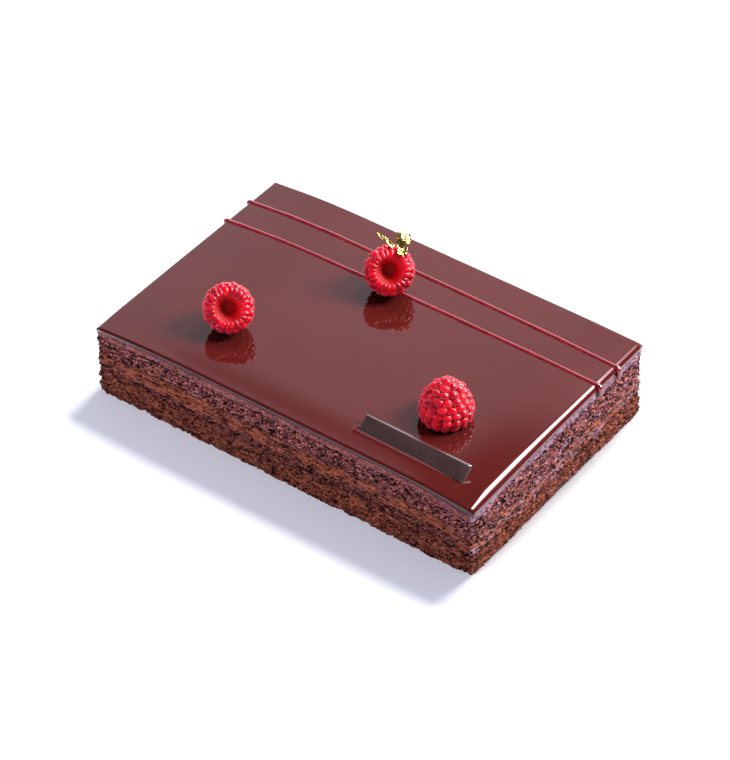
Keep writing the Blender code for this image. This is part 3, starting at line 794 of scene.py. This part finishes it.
piping = line_tree()
line_red = two_tone_material(
    "raspberry glaze line", (98, 3, 15), (120, 10, 26), (LINE_CLOUDS,) * 3, (0.16, 0.3), (0.3, 0.1 * MM),
    ("Coat Weight", 1.0), ("Coat Roughness", 0.2), ("Coat IOR", 1.9), ("Subsurface Weight", 0.1),
    ("Subsurface Radius", (1.0, 0.1, 0.12)), ("Subsurface Scale", 0.8 * MM))
for name, left_y, right_y, bow in LINES:
    curve = bpy.data.curves.new(name, "CURVE")
    curve.dimensions = "3D"
    spline = curve.splines.new("POLY")
    route = line_route(left_y, right_y, bow)
    spline.points.add(len(route) - 1)
    for point, place in zip(spline.points, route):
        point.co = (*place, 1.0)
    guide = placed(name + "_guide", curve)
    mesh = grow(guide, piping, Radius=LINE_RADIUS, Material=line_red)
    bpy.data.objects.remove(guide)
    line = placed(name, mesh)
    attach(line, "root")
    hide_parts("glaze")

# The plaque is a thin moulded tablet of tempered dark chocolate with bevelled edges. It leans back with its
# lower edge pushed into the glaze before that sets. Its face is plain.
FACE_BEVEL = 1.1 * MM
BEVEL_DROP = 1.08 * MM
EDGE_ROUNDING = 0.16 * MM


def placed_bmesh(name, bm):
    """A new smooth object with this shape."""
    mesh = bpy.data.meshes.new(name)
    bm.to_mesh(mesh)
    bm.free()
    mesh.shade_smooth()
    return placed(name, mesh)


def plaque_tablet():
    """The tablet, with its bevelled face up before it is leaned and turned."""
    bm = bmesh.new()
    bmesh.ops.create_cube(bm, size=1.0, matrix=Matrix.Diagonal((*PLAQUE_SIZE, 1)))
    upper = [face for face in bm.faces if face.normal.z > 0.9]
    bmesh.ops.inset_region(bm, faces=upper, thickness=FACE_BEVEL, depth=0.0)
    for vert in bm.verts:
        if vert.co.z > 0 and any(abs(vert.co[k]) > (PLAQUE_SIZE[k] - FACE_BEVEL) / 2 for k in (0, 1)):
            vert.co.z -= BEVEL_DROP
    bmesh.ops.bevel(
        bm, geom=list(bm.edges), offset=EDGE_ROUNDING, segments=3, profile=0.5, affect="EDGES",
        clamp_overlap=True)
    level = float(glaze_level(*PLAQUE_FOOT))
    lean = Matrix.Rotation(PLAQUE_TURN, 4, "Z") @ Matrix.Rotation(PLAQUE_LEAN, 4, "X")
    middle = Matrix.Translation((0, PLAQUE_SIZE[1] / 2 - PLAQUE_SUNK, -PLAQUE_SIZE[2] / 2))
    foot = Matrix.Translation((*PLAQUE_FOOT, level))
    bmesh.ops.transform(bm, matrix=foot @ lean @ middle, verts=bm.verts)
    made = placed_bmesh("plaque_tablet", bm)
    made.data.set_sharp_from_angle(angle=math.radians(50))
    return made


plaque = plaque_tablet()
plaque.data.materials.append(two_tone_material(
    "tempered dark chocolate", (50, 34, 34), (58, 40, 40), ((160.0, 5.0), (160.0, 5.0), (900.0, 3.0)),
    (0.16, 0.3), (0.12, 0.05 * MM), ("Coat Weight", 1.0), ("Coat Roughness", 0.12), ("Coat IOR", 2.0)))
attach(plaque, "root")
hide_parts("plaque")

# Three raspberries. A raspberry is about a hundred juicy drupelets set in staggered rows on a thin cone that
# is hollow once picked. Two lie with the hollow to the viewer, and one stands on its open rim.
OPEN_SIDE, OPEN_RISE = math.radians(-54), math.radians(34)
LYING_TURN, STANDING_TURN = math.radians(102), math.radians(112)
RIM_TURN = math.radians(122)
RIM_DEPTH = 0.3
RIM_DRUPELETS = 23
DRUPELET_SUNK = 1.7 * MM  # middles below the berry's outline
DRUPELET_STRAY, DRUPELET_SHIFT = 0.13, 0.2 * MM  # share of the step round the row, and up or down
DRUPELET_SIZES = (0.93, 1.07)
DRUPELET_DENT = 0.7 * MM
CORE_SUNK = 1.9 * MM
HOLLOW_RIB = 0.3 * MM
HOLLOW_MOUTH, HOLLOW_DEPTH = 0.24, 0.42  # shares of the berry's radius and height
BERRIES = (  # name, radius, height over its widest ring, direction of the tip, spin, taper, pitch, lying
    ("raspberry_left", 10.6 * MM, 14.5 * MM, None, 0.3, 1.2, 3.1 * MM, True),
    ("raspberry_middle", 10.3 * MM, 14.5 * MM, None, 1.1, 1.2, 3.1 * MM, True),
    ("raspberry_right", 11.1 * MM, 17.6 * MM, (0.0, 0.0, 1.0), 2.0, 1.6, 3.5 * MM, False),
)


def berry_outline(angle, radius, height, taper):
    """(radius, height) of the berry's cone at an angle of 0 at the tip, 90 degrees at the widest ring."""
    if angle < math.pi / 2:
        return radius * math.sin(angle) ** taper, height * math.cos(angle)
    return radius * math.sin(angle), height * RIM_DEPTH * math.cos(angle)


def berry_rows(radius, height, taper, pitch, lying):
    """Rows of drupelets from the tip down: (radius, height, outward tilt, number, length, width, depth)."""
    turn = LYING_TURN if lying else STANDING_TURN
    angles = np.linspace(0.0, turn, 400)
    path = [berry_outline(angle, radius, height, taper) for angle in angles]
    run = np.concatenate(([0.0], np.cumsum([math.dist(a, b) for a, b in zip(path, path[1:])])))
    row_count = round(run[-1] / (0.84 * pitch))
    turns = [float(np.interp(run[-1] * row / row_count, run, angles)) for row in range(row_count + 1)]
    rows = []
    for angle in turns + [RIM_TURN] * lying:
        reach, up = berry_outline(angle, radius, height, taper)
        before, after = (berry_outline(abs(angle + step), radius, height, taper) for step in (-0.02, 0.02))
        tilt = math.atan2(before[1] - after[1], after[0] - before[0]) if angle else 0.0
        count = max(1, round(math.tau * reach / pitch))
        length, width, depth = 0.6 * pitch, 0.62 * pitch, 0.2 * pitch + 1.4 * MM
        if angle == RIM_TURN:
            count, length, width, depth = RIM_DRUPELETS, 2.3 * MM, 1.3 * MM, 1.5 * MM
            tilt += 0.1
        rows.append((reach, up, tilt, count, length, width, depth))
    return rows


def drupelet_tree():
    """Sets a drupelet on each point, stretched and turned as the point says, each a little misshapen."""
    tree, given, result = shaping_tree("drupelets", Seed="Float", Dent="Float", Material="Material")
    ball = got(tree, "GeometryNodeMeshUVSphere", ("Segments", 16), ("Rings", 10), ("Radius", 1.0))
    wires = ("Primary Axis", named(tree, "direction")), ("Secondary Axis", named(tree, "onward"))
    stand = got(tree, "FunctionNodeAxesToRotation", *wires, primary_axis="Z", secondary_axis="X")
    fruit = got(
        tree, "GeometryNodeInstanceOnPoints", ("Points", given["Geometry"]), ("Instance", ball),
        ("Rotation", stand), ("Scale", named(tree, "size")))
    fruit = got(tree, "GeometryNodeRealizeInstances", (0, fruit))
    wires = ("Vector", spot(tree)), ("Scale", 330.0), ("Detail", 1.0), ("W", given["Seed"])
    uneven = got(tree, "ShaderNodeTexNoise", *wires, output="Color", noise_dimensions="4D")
    dent = scaled(vectors("SUBTRACT", uneven, (0.5, 0.5, 0.5)), given["Dent"])
    return finish_tree(result, smoothed(shifted(fruit, dent)), given)


def berry_material(name, deep, bright, pale, sheen, gloss):
    """Juicy red flesh, each drupelet of its own tone, with a painted pale sheen of its fine down at grazing
    angles.
    """
    made, shader = new_material(name)
    tree = made.node_tree
    place = object_place(tree)
    cloud = clouds(place, 190.0, 3.0)
    tone = got(tree, "ShaderNodeSeparateXYZ", (0, surface_value(tree, "tone", "Vector")))
    shade = blend(between(tone * 0.6 + cloud * 0.6, 0.2, 0.9), screen(*deep), screen(*bright))
    edge = got(tree, "ShaderNodeLayerWeight", ("Blend", 0.5), output="Facing")
    # Towards grazing angles the pale colour is blended in: a painted sheen of the down on each drupelet's
    # outline.
    wire(
        shader, ("Base Color", blend(edge**4.0 * 0.85, shade, screen(*pale))),
        ("Roughness", ranged(cloud, gloss, gloss + 0.2)),
        ("Normal", bumps(clouds(place, 1700.0, 3.0), 0.3, 0.08 * MM)), ("Subsurface Weight", 0.4),
        ("Subsurface Radius", (1.0, 0.08, 0.1)), ("Subsurface Scale", 1.8 * MM), ("Sheen Weight", sheen),
        ("Sheen Roughness", 0.35), ("Sheen Tint", screen(255, 196, 204)))
    return made


def hollow_material():
    """The hollow's flesh, with a painted glow standing in for the light that seeps through a berry, less
    where it is deeper.
    """
    made = berry_material("raspberry hollow", (150, 0, 6), (170, 0, 10), (160, 0, 10), 0.0, 0.6)
    # Painted glow, dimmer and darker where the hollow is deeper.
    deeper = between(surface_value(made.node_tree, "depth"), 0.3, 0.85)
    glow = blend(deeper, screen(128, 0, 6), screen(50, 3, 3))
    wire(made.node_tree.nodes["Principled BSDF"], ("Emission Color", glow), ("Emission Strength", 1.0))
    return made


def berry_core(radius, height, taper, lying):
    """The thin cone under the drupelets, with its hollow, as a closed turned mesh about +Z."""
    around, outer_steps, inner_steps = 4 * RIM_DRUPELETS, 16, 14
    turn = RIM_TURN if lying else STANDING_TURN
    outline = [
        berry_outline(turn * k / outer_steps, radius - CORE_SUNK, height - CORE_SUNK, taper)
        for k in range(outer_steps + 1)
    ]
    reach, up = outline[-1]
    for k in range(1, inner_steps * lying + 1):
        share = k / inner_steps
        inwards = reach + (HOLLOW_MOUTH * radius - reach) * (1 - (1 - share) ** 1.4)
        outline.append((inwards, up + HOLLOW_DEPTH * height * share**2))
    bm = bmesh.new()
    depth = bm.verts.layers.float.new("depth")
    rings = []
    for k, (r, z) in enumerate(outline[1:]):
        share = max(0, k + 1 - outer_steps) / inner_steps
        rib = HOLLOW_RIB * (share > 0) * (1 - share)
        ring = []
        for i in range(around):
            ribbed, angle = r + rib * math.cos(math.tau * i / 4), math.tau * i / around
            ring.append(bm.verts.new((ribbed * math.cos(angle), ribbed * math.sin(angle), z)))
            ring[-1][depth] = share
        rings.append(ring)
    tip, end = bm.verts.new((0, 0, outline[0][1])), bm.verts.new((0, 0, outline[-1][1]))
    end[depth] = float(lying)
    for i in range(around):
        after = (i + 1) % around
        bm.faces.new((tip, rings[0][i], rings[0][after]))
        bm.faces.new((end, rings[-1][after], rings[-1][i]))
        for upper, lower in zip(rings, rings[1:]):
            bm.faces.new((upper[i], lower[i], lower[after], upper[after]))
    for face in bm.faces:
        face.smooth = True
        face.material_index = int(any(vert[depth] > 0 for vert in face.verts))
    bmesh.ops.recalc_face_normals(bm, faces=bm.faces)
    return bm


def raspberry(name, radius, height, tip, spin, taper, pitch, lying):
    """A raspberry over its solid, as one mesh: the cone, and a drupelet on each place of its rows."""
    rows = berry_rows(radius - DRUPELET_SUNK, height - DRUPELET_SUNK, taper, pitch, lying)
    if tip is None:
        tip = -Vector((math.cos(OPEN_SIDE), math.sin(OPEN_SIDE), math.tan(OPEN_RISE))).normalized()
    rng = np.random.default_rng(int(spin * 10))
    points = {"place": [], "direction": [], "onward": [], "size": [], "tone": []}
    for row, (reach, up, tilt, count, length, width, depth) in enumerate(rows):
        for k in range(count):
            angle = math.tau * (k + 0.5 * (row % 2) + DRUPELET_STRAY * rng.uniform(-1, 1)) / count
            round_about = Vector((math.cos(angle), math.sin(angle), 0))
            bigger = rng.uniform(*DRUPELET_SIZES)
            shift = DRUPELET_SHIFT * rng.uniform(-1, 1)
            points["place"].append(round_about * reach + Vector((0, 0, up + shift)))
            points["direction"].append(round_about * math.sin(tilt) + Vector((0, 0, math.cos(tilt))))
            points["onward"].append(round_about * math.cos(tilt) - Vector((0, 0, math.sin(tilt))))
            points["size"].append((length * bigger, width * bigger, depth * bigger))
            points["tone"].append((rng.uniform(), 0.0, 0.0))
    mesh = mesh_of(name, points.pop("place"), [])
    for label, values in points.items():
        flat_values = np.array([tuple(value) for value in values], np.float32).ravel()
        mesh.attributes.new(label, "FLOAT_VECTOR", "POINT").data.foreach_set("vector", flat_values)
    made = placed(name + "_fruit", mesh)
    made.data = grow(made, drupelets, Seed=spin, Dent=DRUPELET_DENT, Material=flesh)
    bm = berry_core(radius, height, taper, lying)
    core_faces = len(bm.faces)
    bm.from_mesh(made.data)
    for face in list(bm.faces)[core_faces:]:
        face.material_index = 0
    stand = Vector((0, 0, 1)).rotation_difference(Vector(tip)).to_matrix() @ Matrix.Rotation(spin, 3, "Z")
    bmesh.ops.transform(bm, matrix=stand.to_4x4(), verts=bm.verts)
    low = Vector([min(vert.co[axis] for vert in bm.verts) for axis in range(3)])
    high = Vector([max(vert.co[axis] for vert in bm.verts) for axis in range(3)])
    box_low, box_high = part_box(name)
    fit = [(box_high - box_low)[axis] / (high - low)[axis] for axis in range(3)]
    if lying:
        fit = [sum(fit) / 3] * 3
    bmesh.ops.transform(bm, matrix=Matrix.Diagonal((*fit, 1)), verts=bm.verts)
    middle = Vector([(low + high)[axis] / 2 * fit[axis] for axis in range(3)])
    moved = (box_low + box_high) / 2 - middle
    moved.z = box_low.z - JOINT_GAP - low.z * fit[2]
    bmesh.ops.translate(bm, vec=moved, verts=bm.verts)
    made.data.materials.clear()  # before the faces are written, because it clears their materials too
    made.data.materials.append(flesh)
    made.data.materials.append(hollow)
    bm.to_mesh(made.data)
    bm.free()
    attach(made, "root")
    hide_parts(name)


drupelets = drupelet_tree()
# Its third colour is the painted pale sheen of the down.
flesh = berry_material("raspberry flesh", (138, 0, 22), (202, 0, 30), (240, 140, 160), 0.06, 0.18)
hollow = hollow_material()
for berry in BERRIES:
    raspberry(*berry)

# Gold leaf: a crumpled flake and a torn sliver of it are set on the middle raspberry with a brush, where
# they stand up and curl. The leaf is far thinner than paper.
LEAF_THICKNESS = 0.12 * MM
LEAF_TILT = math.radians(41)
LEAVES = (  # name, points of (sideways, up, forwards of the berry's middle, width) in mm, ripple
    (
        "gold_flake",
        ((4.6, 5.8, 7.6, 3.0), (5.2, 9.2, 6.0, 4.4), (5.4, 12.0, 4.8, 6.6), (5.9, 14.9, 4.2, 5.4)), 0.5,
    ),
    ("gold_sliver", ((1.2, 9.2, 5.9, 1.8), (-1.7, 11.9, 4.6, 1.7), (-5.6, 15.0, 4.2, 0.5)), 0.2),
)


def leaf_bit(name, route, ripple):
    """A bit of leaf along its route, finely crumpled, with a little thickness."""
    box_low, box_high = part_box("raspberry_middle")
    middle = (box_low + box_high) / 2
    forward = Vector((math.cos(OPEN_SIDE), math.sin(OPEN_SIDE), 0)) * math.cos(LEAF_TILT)
    forward.z = math.sin(LEAF_TILT)
    side = Vector((-math.sin(OPEN_SIDE), math.cos(OPEN_SIDE), 0))
    rise = forward.cross(side)
    spine = [middle + (side * s + rise * r + forward * f) * MM for s, r, f, _ in route]
    bm = bmesh.new()
    bmesh.ops.create_grid(bm, x_segments=18 * (len(route) - 1), y_segments=14, size=1.0)
    for vert in bm.verts:
        along = (vert.co.x + 1) / 2 * (len(route) - 1)
        across = vert.co.y
        k = min(int(along), len(route) - 2)
        share = along - k
        width = (route[k][3] * (1 - share) + route[k + 1][3] * share) * MM
        onward = (spine[k + 1] - spine[k]).normalized()
        sideways = (side - onward * side.dot(onward)).normalized()
        wave = math.sin(2.3 * along + 2.1 * across) + 0.6 * math.sin(4.7 * along - 3.0 * across)
        crease = noise.noise(Vector((along * 2.6, across * 2.6, ripple)))
        wave += 1.6 * abs(crease)
        torn = 1 + 0.22 * noise.noise(Vector((along * 4, math.copysign(3.0, across), ripple)))
        place = spine[k].lerp(spine[k + 1], share) + sideways * across * torn * width / 2
        vert.co = place + onward.cross(sideways) * wave * ripple * MM
    made = placed_bmesh(name + "_leaf", bm)
    thickness = made.modifiers.new("thickness", "SOLIDIFY")
    thickness.thickness = LEAF_THICKNESS
    thickness.offset = 0.0
    made.data.materials.append(gold)
    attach(made, "root")
    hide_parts(name)


gold = two_tone_material(
    "gold leaf", (246, 204, 92), (255, 238, 158), ((700.0, 4.0),) * 3, (0.12, 0.34), (0.6, 0.2 * MM),
    ("Metallic", 1.0))
for name, route, ripple in LEAVES:
    leaf_bit(name, route, ripple)

# The studio: a white floor, a pale wall behind, and soft lights. One high at the back also draws the white
# highlight along the glaze's right edge, a key light stands to the right and a fill in front. The others
# light one thing alone: the glaze, or the floor with its bluish shadow.
CAMERA_TURN, CAMERA_RISE = math.radians(36.05), math.radians(41.2)
CAMERA_AWAY = 1.4
CAMERA_AIM = (-8.4 * MM, 9.2 * MM, 0.0)
CAMERA_LENS = 157.03  # mm
TO_BACK, TO_RIGHT, TO_FRONT = (0.02, 0.57, 0.82), (0.6, 0.48, 0.74), (-0.3, -0.8, 0.47)


def aimed(direction, away, towards):
    """A place at a distance along a direction from a point, turned to look back at it."""
    direction = Vector(direction).normalized()
    turned = direction.to_track_quat("Z", "Y").to_matrix().to_4x4()
    return Matrix.Translation(Vector(towards) + direction * away) @ turned


def soft_light(name, direction, away, size, brightness, colour):
    """A soft light that alone would make a level white floor this bright at the cake."""
    light = bpy.data.lights.new(name, "AREA")
    light.shape = "RECTANGLE"
    light.size, light.size_y = size
    slant = direction[2] / Vector(direction).length
    light.energy = brightness * math.pi**2 * away**2 / slant
    light.color = colour
    made = placed(name, light)
    made.matrix_world = aimed(direction, away, (0, 0, 0))
    return made


floor_shape = bmesh.new()
bmesh.ops.create_grid(floor_shape, x_segments=1, y_segments=1, size=4.0)
floor = placed_bmesh("floor", floor_shape)
paper, paper_shader = new_material("white floor")
wire(paper_shader, ("Base Color", (0.9, 0.9, 0.9, 1)), ("Roughness", 0.9), ("Specular IOR Level", 0.1))
floor.data.materials.append(paper)

GLAZE_KEY = (TO_RIGHT, 1.6, (0.6, 0.6), 2.05, (1.0, 0.97, 0.95))
LIGHTS = (  # name, direction, away, size, brightness, colour; mirrored or not; what it lights or leaves out
    ("back light", TO_BACK, 1.7, (0.46, 0.38), 0.5, (1.0, 0.98, 0.96), True, None, ()),
    ("back light glow", TO_BACK, 1.75, (0.8, 0.5), 0.15, (1.0, 0.96, 0.98), True, None, ()),
    ("floor wash", TO_BACK, 1.7, (0.62, 0.44), 0.55, (1.0, 1.0, 1.0), True, "INCLUDE", (floor,)),
    ("fill light", TO_FRONT, 2.4, (2.2, 1.4), 0.45, (0.95, 0.96, 1.12), False, "EXCLUDE", (glaze,)),
    ("right light", TO_RIGHT, 1.6, (0.6, 0.6), 1.6, (1.0, 0.97, 0.95), True, "EXCLUDE", (floor, glaze)),
    ("right light on the glaze", *GLAZE_KEY, False, "INCLUDE", (glaze,)),
    ("blue in the shadow", (0, 0, 1), 1.8, (2.0, 2.0), 0.1, (0.0, 0.3, 1.0), False, "INCLUDE", (floor,)),
)
for *values, mirrored, state, receivers in LIGHTS:
    light = soft_light(*values)
    light.visible_glossy = mirrored
    if receivers:
        lit = bpy.data.collections.new(light.name + " receivers")
        for receiver in receivers:
            lit.objects.link(receiver)
        for linking in lit.collection_objects:
            linking.light_linking.link_state = state
        light.light_linking.receiver_collection = lit


def room(ambient, wall, dark):
    """The room's light: an even ambient, and for reflections a pale wall at the back under a dark ceiling."""
    made = bpy.data.worlds.new("white room")
    made.use_nodes = True
    tree = made.node_tree
    way = got(tree, "ShaderNodeTexCoord", output="Generated")
    across, back, up = (Value(part) for part in put(tree, "ShaderNodeSeparateXYZ", (0, way)).outputs)
    under_ceiling = 1.0 - between(up, 0.63, 0.76)
    at_back = between(back, 0.0, 0.5) * between(across, 0.35, 0.1)
    less_left = between(across, -0.51, -0.45) * 0.16 + 0.84
    mirrored = under_ceiling * (at_back * less_left) * wall + dark
    strength = blend(got(tree, "ShaderNodeLightPath", output="Is Glossy Ray"), ambient, mirrored, "FLOAT")
    wire(tree.nodes["Background"], ("Strength", strength), ("Color", (0.98, 0.97, 1.02, 1)))
    return made


bpy.context.scene.world = room(ambient=0.26, wall=1.2, dark=0.05)

camera = placed("camera", bpy.data.cameras.new("camera"))
back = Vector((
    math.sin(CAMERA_TURN) * math.cos(CAMERA_RISE), -math.cos(CAMERA_TURN) * math.cos(CAMERA_RISE),
    math.sin(CAMERA_RISE)))
camera.matrix_world = aimed(back, CAMERA_AWAY, CAMERA_AIM)
camera.data.lens = CAMERA_LENS
camera.data.sensor_width = 36.0
camera.data.clip_end = 20.0
bpy.context.scene.camera = camera
bpy.context.scene.view_settings.view_transform = "Standard"
